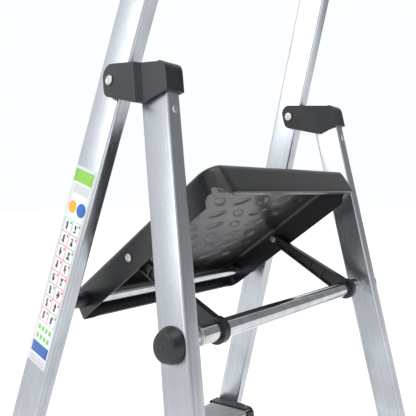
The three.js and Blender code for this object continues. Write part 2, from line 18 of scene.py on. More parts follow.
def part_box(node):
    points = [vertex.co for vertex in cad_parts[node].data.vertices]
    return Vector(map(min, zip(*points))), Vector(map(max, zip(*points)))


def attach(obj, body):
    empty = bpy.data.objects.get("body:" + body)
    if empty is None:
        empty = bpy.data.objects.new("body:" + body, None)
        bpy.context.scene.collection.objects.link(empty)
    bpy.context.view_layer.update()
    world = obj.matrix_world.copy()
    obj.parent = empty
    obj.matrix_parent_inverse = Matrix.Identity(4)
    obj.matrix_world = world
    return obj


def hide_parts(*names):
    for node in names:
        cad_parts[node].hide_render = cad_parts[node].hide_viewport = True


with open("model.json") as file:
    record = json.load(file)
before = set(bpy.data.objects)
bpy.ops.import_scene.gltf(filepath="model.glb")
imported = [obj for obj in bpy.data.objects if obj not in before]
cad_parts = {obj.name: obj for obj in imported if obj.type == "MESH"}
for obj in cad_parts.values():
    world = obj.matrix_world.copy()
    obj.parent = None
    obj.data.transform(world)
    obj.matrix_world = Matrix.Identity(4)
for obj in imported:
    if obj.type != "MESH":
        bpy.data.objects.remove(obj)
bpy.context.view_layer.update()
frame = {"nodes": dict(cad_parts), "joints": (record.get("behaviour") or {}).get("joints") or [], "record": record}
nodes = frame["nodes"]

# %% [markdown]
# ## Where things are
#
# A ladder is a set of flat linkages seen from the side, so most pieces are drawn in a side view
# of their own frame and then turned about the X axis: the front frame leans back, the rear legs
# lean the other way and the platform is tilted. The sides also splay outwards on the way down.

# %% Pivots, leans and splay
MM = 0.001
joints = {joint["name"]: joint for joint in frame["joints"]}
HINGE = np.array(joints["rear_fold"]["pos_m"], float)
PLATFORM_PIVOT = np.array(joints["platform_fold"]["pos_m"], float)

STILE_LEAN = math.radians(-18.0)
LEG_LEAN = math.radians(10.4)
SPLAY = math.tan(math.radians(5.5))


def middle_of(node):
    """Half way between the lowest and the highest corner of a node's box."""
    low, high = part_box(node)
    return np.array((low + high) / 2)


def placed(points, origin, turn):
    """y' = y cos t - z sin t and z' = y sin t + z cos t, then moved to the origin given."""
    x, y, z = points[..., 0], points[..., 1], points[..., 2]
    c, s = math.cos(turn), math.sin(turn)
    return np.stack([x, y * c - z * s, y * s + z * c], -1) + origin


def splayed(points, half):
    """x = 0 is a side member's outer face: x' = half + x - splay times z."""
    out = points.copy()
    out[..., 0] += half - SPLAY * points[..., 2]
    return out


strut_pivot = middle_of("strut_rivet_right")
STRUT_LINE = math.radians(0.5)
TILT = math.atan2(strut_pivot[2] - PLATFORM_PIVOT[2], strut_pivot[1] - PLATFORM_PIVOT[1]) - STRUT_LINE
print("platform tilt", round(math.degrees(TILT), 2), "degrees")

# %% [markdown]
# ## Turning arrays of points into pieces
#
# Every new surface is a grid of points with two parameters. One helper joins the grid into
# four-sided faces, merges doubled points at seams and poles, points the faces outwards and
# stores two lengths along the surface as a UV map, so that a finish can follow the piece.

# %% Grid to mesh


def grid_faces(rows, columns, closed):
    """Corner numbers of the grid's faces; a closed direction joins its last line to its first."""
    i = np.arange(rows if closed[0] else rows - 1)[:, None]
    j = np.arange(columns if closed[1] else columns - 1)[None, :]
    i2, j2 = (i + 1) % rows, (j + 1) % columns
    corners = [i * columns + j, i2 * columns + j, i2 * columns + j2, i * columns + j2]
    return np.stack([c + 0 * (i + j) for c in corners], -1).reshape(-1, 4)


def piece(name, body, slot, finish, grids, stands_for=(), sharp=35, outwards=True):
    """One object from grids (points, closed, uv), joined, cleaned and given its body and finish."""
    vertices, faces, coordinates, start = [], [], [], 0
    for points, closed, uv in grids:
        rows, columns = points.shape[:2]
        vertices.append(points.reshape(-1, 3))
        faces.append(grid_faces(rows, columns, closed) + start)
        coordinates.append(uv.reshape(-1, 2))
        start += rows * columns
    mesh = bpy.data.meshes.new(name)
    corners = np.concatenate(faces)
    mesh.from_pydata(np.concatenate(vertices).tolist(), [], corners.tolist())
    layer = mesh.uv_layers.new(name="along")
    layer.data.foreach_set("uv", np.concatenate(coordinates)[corners.reshape(-1)].reshape(-1))
    work = bmesh.new()
    work.from_mesh(mesh)
    bmesh.ops.remove_doubles(work, verts=work.verts, dist=1e-6)
    if outwards:
        bmesh.ops.recalc_face_normals(work, faces=work.faces)
    work.to_mesh(mesh)
    work.free()
    return dressed(name, mesh, body, finish, stands_for, sharp)


def dressed(name, mesh, body, finish, stands_for=(), sharp=35):
    """Makes the object, shades it smooth up to the sharp angle, and attaches it to its body."""
    mesh.shade_smooth()
    mesh.set_sharp_from_angle(angle=math.radians(sharp))
    made = bpy.data.objects.new(name, mesh)
    bpy.context.scene.collection.objects.link(made)
    made.data.materials.append(finish)
    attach(made, body)
    if stands_for:
        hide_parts(*stands_for)
    return made


MIRROR = np.array([-1.0, 1.0, 1.0])


def pair(name, body, slot, finish, grids, stands_for=None, **options):
    """The same piece on the right (+X) and, mirrored, on the left."""
    for side, sign in (("right", 1.0), ("left", -1.0)):
        turned_grids = [(points if sign > 0 else points * MIRROR, closed, uv) for points, closed, uv in grids]
        covered = [f"{node}_{side}" for node in (stands_for or [name])]
        piece(f"{name}_{side}_fine", body, slot, finish, turned_grids, covered, **options)


# %% [markdown]
# ## Shader arithmetic
#
# A finish is a small network of nodes. To read it like a formula, a socket is wrapped in a class
# that knows plus, minus, times and divide, and each of those adds a Math node.

# %% Sockets that can be added and multiplied


class Value:
    """A node's output that takes part in sums; every operation adds one Math node."""

    def __init__(self, finish, socket):
        self.finish, self.socket = finish, socket

    def __add__(self, other):
        return self.finish.maths("ADD", self, other)

    def __sub__(self, other):
        return self.finish.maths("SUBTRACT", self, other)

    def __rsub__(self, other):
        return self.finish.maths("SUBTRACT", other, self)

    def __mul__(self, other):
        return self.finish.maths("MULTIPLY", self, other)

    def __truediv__(self, other):
        return self.finish.maths("DIVIDE", self, other)

    def __gt__(self, other):
        return self.finish.maths("GREATER_THAN", self, other)

    def __lt__(self, other):
        return self.finish.maths("LESS_THAN", self, other)

    __radd__, __rmul__ = __add__, __mul__


class Finish:
    """A material whose Principled shader has its constants set straight on its sockets."""

    def __init__(self, name, **constants):
        self.material = bpy.data.materials.new(name)
        self.material.use_nodes = True
        self.tree = self.material.node_tree
        self.shader = self.tree.nodes["Principled BSDF"]
        for key, value in constants.items():
            self.shader.inputs[key.replace("_", " ")].default_value = value

    def node(self, kind, settings=None, inputs=None, output=0):
        """Adds a node: its settings first, then the values or links of its sockets."""
        made = self.tree.nodes.new(kind)
        for key, value in (settings or {}).items():
            if key == "stops":
                for stop, (position, grey) in zip(made.color_ramp.elements, value):
                    stop.position, stop.color = position, (grey, grey, grey, 1)
            else:
                setattr(made, key, value)
        for key, value in (inputs or {}).items():
            if isinstance(value, Value):
                self.tree.links.new(value.socket, made.inputs[key])
            else:
                made.inputs[key].default_value = value
        return Value(self, made.outputs[output])

    def maths(self, operation, *values):
        return self.node("ShaderNodeMath", {"operation": operation}, dict(enumerate(values)))

    def place(self, kind="Object"):
        """Object coordinates or the piece's own UV, in metres."""
        names = ["Generated", "Normal", "UV", "Object"]
        return self.node("ShaderNodeTexCoord", output=names.index(kind))

    def scaled(self, vector, factors):
        return self.node("ShaderNodeVectorMath", {"operation": "MULTIPLY"}, {0: vector, 1: factors})

    def noise(self, vector, scale, detail=2.0, roughness=0.5):
        return self.node("ShaderNodeTexNoise", None,
                         {"Vector": vector, "Scale": scale, "Detail": detail, "Roughness": roughness})

    def soft_step(self, value, low, high):
        """0 below low, 1 above high, smooth between."""
        return self.node("ShaderNodeMapRange", {"interpolation_type": "SMOOTHSTEP"},
                         {"Value": value, "From Min": low, "From Max": high})

    def between(self, factor, first, second):
        """first where the factor is 0 and second where it is 1, as a colour."""
        colours = [c if isinstance(c, Value) else (*c, 1.0) for c in (first, second)]
        return self.node("ShaderNodeMix", {"data_type": "RGBA"}, {0: factor, 6: colours[0], 7: colours[1]}, 2)

    def bump(self, height, distance, strength=1.0):
        return self.node("ShaderNodeBump", None,
                         {"Strength": strength, "Distance": distance, "Height": height})

    def feed(self, **sockets):
        """Links varying values to the shader and hands back the finished material."""
        for key, value in sockets.items():
            self.tree.links.new(value.socket, self.shader.inputs[key.replace("_", " ")])
        return self.material


# %% [markdown]
# ## Bright extruded aluminium
#
# Extruded tube keeps fine lines along its length from the die, and a soft grey sheen from
# handling. The lines could be modelled, but they are hundredths of a millimetre deep, so they
# are noise stretched a thousand times along the piece, in its own UV map, which is in metres.

# %% Aluminium


def aluminium(name, along_uv, colour=(0.50, 0.525, 0.56), worn=(0.41, 0.43, 0.46), rough=(0.22, 0.38)):
    """Die lines across u, long in v; a slow cloud of handling marks; both change sheen and colour."""
    made = Finish(name, Metallic=1.0)
    if along_uv:
        along = made.place("UV")
        lines = made.noise(made.scaled(along, (2600.0, 3.0, 1.0)), 1.0, 3.0, 0.6)
        wide = made.noise(made.scaled(along, (320.0, 0.9, 1.0)), 1.0, 2.0)
    else:
        along = made.place()
        lines = made.noise(made.scaled(along, (6.0, 2200.0, 2200.0)), 1.0, 3.0, 0.6)
        wide = made.noise(made.scaled(along, (2.0, 300.0, 300.0)), 1.0, 2.0)
    cloud = made.noise(made.place(), 14.0, 4.0, 0.6)
    speck = made.noise(made.place(), 420.0, 2.0)
    marks = made.soft_step(cloud * 0.6 + wide * 0.4, 0.38, 0.66)
    tone = made.between(marks, colour, worn)
    sheen = rough[0] + (rough[1] - rough[0]) * (marks * 0.5 + lines * 0.35 + speck * 0.15)
    return made.feed(Base_Color=tone, Roughness=sheen, Normal=made.bump(lines + speck * 0.3, 0.00003, 0.6))


ALUMINIUM = aluminium("extruded_aluminium", True)
TREAD_ALUMINIUM = aluminium("tread_aluminium", False, (0.52, 0.53, 0.55), (0.43, 0.44, 0.46), (0.32, 0.5))
print("aluminium finishes made")

# %% [markdown]
# ## Moulded black plastic and rubber
#
# Caps, brackets, struts and knobs are glass-filled nylon: nearly black, satin, with the fine
# grain of an etched mould. Feet are softer and duller. One function makes both.

# %% Plastic and rubber


def moulded(name, colour, paler, rough, grain_depth):
    """Mould grain as small noise; a slower cloud makes the grey and the sheen wander a little."""
    made = Finish(name, Metallic=0.0)
    place = made.place()
    grain = made.noise(place, 1400.0, 2.0, 0.6)
    cloud = made.noise(place, 38.0, 4.0, 0.6)
    tone = made.between(made.soft_step(cloud * 0.7 + grain * 0.3, 0.35, 0.7), colour, paler)
    sheen = rough + (cloud - 0.5) * 0.16 + (grain - 0.5) * 0.1
    return made.feed(Base_Color=tone, Roughness=sheen, Normal=made.bump(grain, grain_depth, 0.5))


BLACK_PLASTIC = moulded("moulded_black_plastic", (0.008, 0.009, 0.012), (0.016, 0.018, 0.022), 0.38, 0.00006)
RUBBER = moulded("foot_rubber", (0.016, 0.017, 0.018), (0.03, 0.03, 0.031), 0.72, 0.00012)

# %% [markdown]
# ## Powder coat, chrome and zinc
#
# The platform is sprayed with powder that melts into a skin with a faint orange peel. The bar
# and the pivot tube are chromed: a mirror that is never quite even. Rivets and bolts are zinc
# plated, with a slightly yellow, blotchy, brushed look.

# %% Coated and plated steel


def powder_coat():
    """Orange peel is noise a few millimetres wide under a clear, harder sheen."""
    made = Finish("black_powder_coat", Metallic=0.0, Coat_Roughness=0.25, Coat_Weight=0.12)
    place = made.place()
    peel = made.noise(place, 330.0, 2.0)
    dust = made.noise(place, 1800.0, 2.0)
    cloud = made.noise(place, 9.0, 4.0, 0.55)
    tone = made.between(made.soft_step(cloud, 0.35, 0.68), (0.008, 0.009, 0.010), (0.016, 0.017, 0.019))
    return made.feed(Base_Color=tone, Roughness=0.31 + (cloud - 0.5) * 0.12 + (dust - 0.5) * 0.12,
                     Normal=made.bump(peel + dust * 0.15, 0.00022, 0.55))


def plated(name, colour, dull, rough, spread, streaks):
    """A metal skin: streaks round the piece and a cloud change its sheen and shade."""
    made = Finish(name, Metallic=1.0)
    place = made.place()
    cloud = made.noise(place, 60.0, 4.0, 0.6)
    fine = made.noise(made.scaled(place, streaks), 1.0, 2.0)
    tone = made.between(made.soft_step(cloud, 0.36, 0.7), colour, dull)
    sheen = rough + (cloud - 0.5) * spread + (fine - 0.5) * spread
    return made.feed(Base_Color=tone, Roughness=sheen, Normal=made.bump(fine, 0.00001, 0.3))


POWDER = powder_coat()
CHROME = plated("bright_chrome", (0.60, 0.61, 0.63), (0.48, 0.49, 0.51), 0.12, 0.10, (900.0, 30.0, 30.0))
ZINC = plated("zinc_plate", (0.62, 0.62, 0.60), (0.50, 0.50, 0.49), 0.33, 0.18, (700.0, 700.0, 700.0))

# %% [markdown]
# ## Stiles, legs and braces: rectangular tube
#
# A tube is a rounded rectangle carried along a straight line, outside going up and inside coming
# down, so that the surface closes on itself like a sleeve. The corner radius is small but it is
# what the eye reads: it draws the dark line and the highlight along each edge.

# %% Tube surfaces


def rounded_rectangle(u0, u1, v0, v1, r, steps=7):
    """Four quarter circles of radius r in the corners, joined by straight sides."""
    turn = np.linspace(0, math.pi / 2, steps)
    corners = [(u1 - r, v1 - r), (u0 + r, v1 - r), (u0 + r, v0 + r), (u1 - r, v0 + r)]
    return np.concatenate([
        np.stack([u + r * np.cos(turn + k * math.pi / 2), v + r * np.sin(turn + k * math.pi / 2)], -1)
        for k, (u, v) in enumerate(corners)
    ])


def length_round(loop):
    """Distance along the loop at each of its points."""
    steps = np.linalg.norm(np.diff(loop, axis=0), axis=-1)
    return np.concatenate([[0.0], np.cumsum(steps)])


def sleeve(outer, inner, start, end, axis):
    """Carries two loops along an axis (2: x, y loops go up z; 0: y, z loops go across x)."""
    edge = 0.3 * MM
    middle = outer.mean(0)
    broken = outer + edge * (middle - outer) / np.abs(outer - middle).max()
    stations = [(broken, start), (outer, start + edge), (outer, end - edge), (broken, end),
                (inner, end), (inner, start)]
    rows = []
    for loop, at in stations:
        column = np.full(len(loop), at)
        rows.append(np.insert(loop, axis, column, axis=1))
    points = np.stack(rows)
    around = np.broadcast_to(length_round(outer), points.shape[:2])
    uv = np.stack([around, points[..., axis]], -1)
    return points, (True, True), uv


STILE = {"depth": 40 * MM, "width": 17.5 * MM, "wall": 1.6 * MM, "corner": 3 * MM,
         "half": 179 * MM, "set": -26.7 * MM, "top": 396 * MM, "length": 1360 * MM}
LEG = {"depth": 36 * MM, "width": 17.5 * MM, "wall": 1.6 * MM, "corner": 3 * MM,
       "half": 177.5 * MM, "set": 34.2 * MM, "top": -11 * MM}
SOLE = 15.3 * MM  # from the floor to the lower end of a tube
STILE_MIDDLE = STILE["set"] + STILE["depth"] / 2
LEG_MIDDLE = LEG["set"] + LEG["depth"] / 2


def side_member(size, start, end):
    """Outer face at x = 0; the bore is one wall thickness inside."""
    w, front, rear = size["wall"], size["set"], size["set"] + size["depth"]
    outer = rounded_rectangle(-size["width"], 0, front, rear, size["corner"])
    inner = rounded_rectangle(-size["width"] + w, -w, front + w, rear - w, size["corner"] - w)
    points, closed, uv = sleeve(outer, inner, start, end, 2)
    return splayed(points, size["half"]), closed, uv


grid = side_member(STILE, -STILE["length"] + SOLE, STILE["top"])
pair("front_stile", "front_frame", "aluminium", ALUMINIUM,
     [(placed(grid[0], HINGE, STILE_LEAN), *grid[1:])])

stand = STILE["length"] * math.cos(STILE_LEAN) - STILE_MIDDLE * math.sin(STILE_LEAN)
leg_length = (stand + LEG_MIDDLE * math.sin(LEG_LEAN)) / math.cos(LEG_LEAN)
grid = side_member(LEG, -leg_length + SOLE, LEG["top"])
pair("rear_leg", "rear_frame", "aluminium", ALUMINIUM,
     [(placed(grid[0], HINGE, LEG_LEAN), *grid[1:])])
print("tubes", STILE["depth"], "and", LEG["depth"], "m deep, legs", round(leg_length, 4), "m long")

# %% Rear braces
BRACE = {"depth": 24 * MM, "height": 16 * MM, "wall": 1.6 * MM, "corner": 3 * MM, "inner": 1.4 * MM}
BRACE_PLACES = {1: -990 * MM, 2: -640 * MM}
TOUCH = 0.3 * MM


def brace(z):
    """A level tube whose ends are cut to the legs' splay: x = t times the half space at that z."""
    d, h, w = BRACE["depth"] / 2, BRACE["height"] / 2, BRACE["wall"]
    outer = rounded_rectangle(LEG_MIDDLE - d, LEG_MIDDLE + d, z - h, z + h, BRACE["corner"])
    inner = rounded_rectangle(LEG_MIDDLE - d + w, LEG_MIDDLE + d - w, z - h + w, z + h - w, BRACE["inner"])
    points, closed, uv = sleeve(outer, inner, -1.0, 1.0, 0)
    half = LEG["half"] - LEG["width"] - TOUCH - SPLAY * points[..., 2]
    points[..., 0] = np.sign(points[..., 0]) * half
    uv[..., 1] = points[..., 0]
    return placed(points, HINGE, LEG_LEAN), closed, uv


for number, z in BRACE_PLACES.items():
    piece(f"rear_brace_{number}_fine", "rear_frame", "aluminium", ALUMINIUM, [brace(z)],
          [f"rear_brace_{number}"])

# %% [markdown]
# ## Treads: a ribbed extrusion
#
# Each tread is one aluminium extrusion: a flat top with grip ribs running across the ladder, a
# deep front lip, a shorter rear lip and a stiffening web below. Its outline is carried across
# between the end brackets, and its ends follow the stiles' splay.

# %% Tread surfaces
TREAD = {"depth": 82 * MM, "lip": 24 * MM, "skin": 2.4 * MM, "rib": 1.2 * MM, "angle": math.radians(21.5),
         "front": -29 * MM, "first": -525 * MM, "pitch": 281 * MM}
BRACKET_PLATE = 6 * MM
RIB_PITCH, RIB_WIDTH = 6 * MM, 3.12 * MM
WEB = {"place": 45.9 * MM, "width": 1.8 * MM, "depth": 14.4 * MM}
REAR_LIP = 18 * MM


def tread_height(number):
    """Height of a tread's front edge along the stile; the third is the highest."""
    return TREAD["first"] - (3 - number) * TREAD["pitch"]



def tread_outline():
    """Going round from the front lip: ribs z = rib sin(pi t)^0.6 stand on the top skin."""
    depth, lip, skin, rib = (TREAD[k] for k in ("depth", "lip", "skin", "rib"))
    nose = 4 * MM
    turn = np.linspace(0, math.pi / 2, 6)
    front = np.stack([nose - nose * np.cos(turn), -nose + nose * np.sin(turn)], -1)
    starts = np.arange(nose + 3 * MM, depth - nose - 3 * MM, RIB_PITCH)
    wave = np.linspace(0, 1, 7)
    ribs = np.stack(np.broadcast_arrays(starts[:, None] + wave * RIB_WIDTH,
                                        rib * np.sin(math.pi * wave) ** 0.6), -1).reshape(-1, 2)
    rear = np.stack([depth - nose + nose * np.sin(turn), -nose + nose * np.cos(turn)], -1)
    web, web_front = WEB["place"], WEB["place"] - WEB["width"]
    below = np.array([
        [depth, -REAR_LIP], [depth - skin, -REAR_LIP], [depth - skin, -nose], [depth - nose, -skin],
        [web, -skin], [web, -WEB["depth"]], [web_front, -WEB["depth"]], [web_front, -skin],
        [nose, -skin], [skin, -nose], [skin, -lip], [0, -lip],
    ])
    return np.concatenate([front, ribs, rear, below])


def filled(name, body, finish, ends, stands_for, sharp=28):
    """A prism: the outline at both ends, joined round the side and closed by one face each."""
    mesh = bpy.data.meshes.new(name)
    count = len(ends[0])
    mesh.from_pydata(np.concatenate(ends).tolist(), [], (
        [list(range(count))[::-1], [count + k for k in range(count)]]
        + grid_faces(2, count, (False, True)).tolist()))
    work = bmesh.new()
    work.from_mesh(mesh)
    bmesh.ops.recalc_face_normals(work, faces=work.faces)
    bmesh.ops.triangulate(work, faces=[face for face in work.faces if len(face.verts) > 4])
    work.to_mesh(mesh)
    work.free()
    return dressed(name, mesh, body, finish, stands_for, sharp)


outline = tread_outline()
for number in (1, 2, 3):
    z = tread_height(number)
    side = placed(np.insert(outline, 0, 0.0, axis=1), np.array([0, TREAD["front"], z]), TREAD["angle"])
    half = STILE["half"] - STILE["width"] - SPLAY * side[:, 2] - BRACKET_PLATE - 0.7 * MM
    ends = []
    for sign in (-1.0, 1.0):
        end = side.copy()
        end[:, 0] = sign * half
        ends.append(placed(end, HINGE, STILE_LEAN))
    filled(f"tread_{number}_fine", "front_frame", TREAD_ALUMINIUM, ends,
           [f"tread_{number}"])
print("treads:", len(outline), "points round the outline")

# %% [markdown]
# ## Turned and headed pieces
#
# The crossbar, the pivot tube, knobs, rivets and bolts are all round about an axis that runs
# across the ladder. Each is a profile of distance and radius, spun: y = r cos a, z = r sin a.

# %% Surfaces of revolution


def softened_profile(profile, amount, steps=3):
    """Cuts each corner of the profile with a short quadratic curve of the given reach."""
    profile = np.array(profile, float)
    out = [profile[0]]
    for before, corner, after in zip(profile[:-2], profile[1:-1], profile[2:]):
        start, end = [
            corner + (p - corner) * min(amount / max(np.linalg.norm(p - corner), 1e-9), 1 / 2.2)
            for p in (before, after)
        ]
        t = np.linspace(0, 1, steps + 1)[:, None]
        out.extend((1 - t) ** 2 * start + 2 * t * (1 - t) * corner + t * t * end)
    out.append(profile[-1])
    return np.array(out)


def spun(profile, y=0.0, z=0.0, sides=48, soft=0.35 * MM):
    """x along the profile, y = r cos a, z = r sin a, about the axis through (y, z)."""
    profile = softened_profile(np.array(profile) * MM, soft)
    turn = np.linspace(0, 2 * math.pi, sides, endpoint=False)
    x, r = profile[:, :1], profile[:, 1:]
    points = np.stack(np.broadcast_arrays(x, y + r * np.cos(turn), z + r * np.sin(turn)), -1)
    uv = np.stack(np.broadcast_arrays(length_round(profile)[:, None], turn * 0.01), -1)
    return points, (False, True), uv


def hollow(profile):
    """A tube's profile starts and ends at the same point, so that the wall closes."""
    return profile + profile[:1]


def fitted(grid, origin, turn, half=None):
    """Splays a side piece when half is given, then places it in the ladder."""
    points, closed, uv = grid
    if half is not None:
        points = splayed(points, half)
    return placed(points, origin, turn), closed, uv


# profiles are in millimetres
BAR_RADIUS, BAR_WALL, BAR_HALF = 9.5, 1.6, 168
bar = spun(hollow([[-BAR_HALF, BAR_RADIUS - BAR_WALL], [-BAR_HALF, BAR_RADIUS], [BAR_HALF, BAR_RADIUS],
                   [BAR_HALF, BAR_RADIUS - BAR_WALL]]), sides=64)
piece("crossbar_fine", "struts", "chrome", CHROME, [fitted(bar, middle_of("crossbar"), 0.0)], ["crossbar"])

tube_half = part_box("pivot_tube")[1].x / MM
TUBE_RADIUS, TUBE_BORE = 8.0, 6.2
tube = spun(hollow([[-tube_half, TUBE_BORE], [-tube_half, TUBE_RADIUS], [tube_half, TUBE_RADIUS],
                    [tube_half, TUBE_BORE]]), sides=64)
piece("pivot_tube_fine", "pivot_tube", "chrome", CHROME, [fitted(tube, PLATFORM_PIVOT, 0.0)], ["pivot_tube"])

# %% Knobs and spigots at the crossbar's ends
BAR_DROP = -260 * MM
SPIGOT = 6.3
leg_face = (LEG["half"] - SPLAY * BAR_DROP) / MM
spigot = spun([[BAR_HALF + 0.3, 0], [BAR_HALF + 0.3, 9.5], [BAR_HALF + 2, 9.5], [BAR_HALF + 4, SPIGOT],
               [leg_face + 8, SPIGOT], [leg_face + 8, 0]], LEG_MIDDLE, BAR_DROP)
pair("crossbar_spigot", "rear_frame", "zinc_steel", ZINC, [fitted(spigot, HINGE, LEG_LEAN)])

knob = spun([[9.2, 0], [9.2, SPIGOT + 0.3], [0.3, SPIGOT + 0.3], [0.3, 15.7], [1, 16.5], [3, 16.5],
             [10, 13.6], [11.4, 12.4], [12, 9.5], [12.3, 4.6], [11.9, 3.8], [12.8, 0]],
            LEG_MIDDLE, BAR_DROP, sides=72, soft=0.7 * MM)
pair("crossbar_knob", "rear_frame", "black_plastic", BLACK_PLASTIC,
     [fitted(knob, HINGE, LEG_LEAN, LEG["half"])])

# %% Rivets, bolts, pins and screws
PIVOT = (-14.7 * MM, -254 * MM)
HANDLE_RIVET = 385 * MM
HANDLE_HALF = 150
TREAD_RIVETS = {"a": 15 * MM, "b": 34 * MM}  # behind the tread's front edge
TREAD_RIVET_DROP = 12 * MM


def headed(head, height, shank, depth, tail):
    """A rivet: domed head with a shallow dimple, shank, and a set head on its inner end."""
    return [[0.3 + height * 0.72, 0], [0.3 + height * 0.8, head * 0.22], [0.3 + height, head * 0.4],
            [0.3 + height * 0.8, head * 0.72], [0.3 + height * 0.4, head * 0.95], [0.3, head], [0.3, shank],
            [-depth, shank], [-depth, tail], [-depth - 1.6, tail * 0.9], [-depth - 1.6, 0]]


for number in (1, 2, 3):
    front_edge = np.array([0, TREAD["front"], tread_height(number)])
    for letter, distance in TREAD_RIVETS.items():
        spot = placed(np.array([0, distance, -TREAD_RIVET_DROP]), front_edge, TREAD["angle"])
        rivet = spun(headed(5, 2, 2.5, 24.1, 3.8), spot[1], spot[2], 32)
        pair(f"tread_rivet_{number}{letter}", "front_frame", "zinc_steel", ZINC,
             [fitted(rivet, HINGE, STILE_LEAN, STILE["half"])])

into = HANDLE_HALF - (STILE["half"] - SPLAY * HANDLE_RIVET) / MM + 4
points, closed, uv = spun(headed(5, 2, 2.5, into, 2.5), STILE_MIDDLE, HANDLE_RIVET, 32)
points = points + np.array([HANDLE_HALF * MM, 0, 0])
pair("handle_rivet", "front_frame", "zinc_steel", ZINC, [(placed(points, HINGE, STILE_LEAN), closed, uv)])

BOLT_END = 125
bolt_face = (STILE["half"] - SPLAY * PIVOT[1]) / MM
bolt_head = (STILE["wall"] - STILE["width"]) / MM + 0.3
bolt = spun([[bolt_head + 5, 0], [bolt_head + 5, 6], [bolt_head + 4, 7], [bolt_head, 7], [bolt_head, 4],
             [BOLT_END - bolt_face, 4], [BOLT_END - bolt_face, 0]], *PIVOT, 40)
pair("platform_bolt", "front_frame", "zinc_steel", ZINC, [fitted(bolt, HINGE, STILE_LEAN, STILE["half"])])

pin = spun([[9.4, 0], [9.4, 1.8], [10.4, 2.4], [10.6, 3.5], [9.9, 5.0], [8.6, 5.2], [8.6, 4], [-21.4, 4],
            [-21.4, 6], [-23, 5.6], [-23, 0]], 0, 0, 48)
pair("hinge_pin", "hinge_pins", "zinc_steel", ZINC, [fitted(pin, HINGE, LEG_LEAN, LEG["half"])])

for number, z in BRACE_PLACES.items():
    rivet = spun(headed(6.5, 2.4, 3, LEG["width"] / MM + 8, 3), LEG_MIDDLE, z, 32)
    pair(f"brace_rivet_{number}", "rear_frame", "zinc_steel", ZINC,
         [fitted(rivet, HINGE, LEG_LEAN, LEG["half"])])
print("rivets, bolts and pins turned")

# %% [markdown]
# ## The platform: a pressed tray
#
# Sheet steel is pressed into a shallow tray: a top plate with raised grips, side walls bent down
# on a small radius and a lip turned in along the front and rear. One open skin is computed, the
# plate as a grid and the walls as a profile carried round the plate's edge, and the Solidify
# modifier gives the sheet its thickness, so every grip also shows as a dimple underneath.

# %% Platform sizes
TRAY = {"front": -22.4 * MM, "rear": 241 * MM, "top": 18.1 * MM, "flange": 35 * MM, "sheet": 1.6 * MM,
        "half_front": 152 * MM, "half_rear": 147 * MM, "front_corner": 8 * MM, "rear_corner": 22 * MM,
        "hem": 4.5 * MM, "roll": 1.9 * MM, "bend": 6.5 * MM, "grip": 1.5 * MM}
STRUT = {"middle": 140 * MM, "thick": 8 * MM, "ring": 13.4 * MM}
GRIP = {"pitch_x": 43 * MM, "pitch_y": 27 * MM, "long": 17.5 * MM, "wide": 8.2 * MM, "lean": 0.42}

behaviour = frame["record"]["behaviour"]
legs_open = math.radians(joints["rear_open"]["range_deg"][1])
ratio = next(c["ratio"] for c in behaviour["couplings"] if c["joint"] == "platform_lower")
bar_rest = middle_of("crossbar")[1:] - HINGE[1:]
c, s = math.cos(legs_open), math.sin(legs_open)
bar_open = np.array([bar_rest[0] * c - bar_rest[1] * s, bar_rest[0] * s + bar_rest[1] * c]) + HINGE[1:]
reach = bar_open - PLATFORM_PIVOT[1:]
c, s = math.cos(legs_open * ratio - TILT), math.sin(legs_open * ratio - TILT)
SEAT = np.array([reach[0] * c - reach[1] * s, reach[0] * s + reach[1] * c])
SEAT_RADIUS = 10 * MM
print("the crossbar's seat in the platform, mm", np.round(SEAT / MM, 1))

# %% Edge of the platform in plan


def tray_edge():
    """The right half of the plan outline: points, and the direction inwards at each of them.

    Straight sides from half_front to half_rear, with a quarter circle at each end:
    centre + r (cos t, sin t). The rows crowd together where the crossbar's notch is cut."""
    front, rear, r0, r1 = TRAY["front"], TRAY["rear"], TRAY["front_corner"], TRAY["rear_corner"]
    slope = (TRAY["half_rear"] - TRAY["half_front"]) / (rear - front)
    width = lambda y: TRAY["half_front"] + slope * (y - front)
    t0 = np.linspace(-math.pi / 2, 0, 8)
    t1 = np.linspace(0, math.pi / 2, 20)
    notch = SEAT[0] + SEAT_RADIUS * np.cos(np.linspace(math.pi, 0, 15))
    plain = np.arange(front + r0, rear - r1, 1.6 * MM)[1:]
    plain = plain[plain < notch[0] - 1.2 * MM]
    straight = np.concatenate([plain, notch[notch < rear - r1 - 0.4 * MM]])
    lead = width(front + r0) - r0
    trail = width(rear - r1) - r1
    base = np.concatenate([
        np.stack([lead + r0 * np.cos(t0), front + r0 + r0 * np.sin(t0)], -1),
        np.stack([width(straight), straight], -1),
        np.stack([trail + r1 * np.cos(t1), rear - r1 + r1 * np.sin(t1)], -1),
    ])
    inwards = np.concatenate([
        -np.stack([np.cos(t0), np.sin(t0)], -1),
        np.broadcast_to([-1.0, 0.0], (len(straight), 2)),
        -np.stack([np.cos(t1), np.sin(t1)], -1),
    ])
    return base, inwards


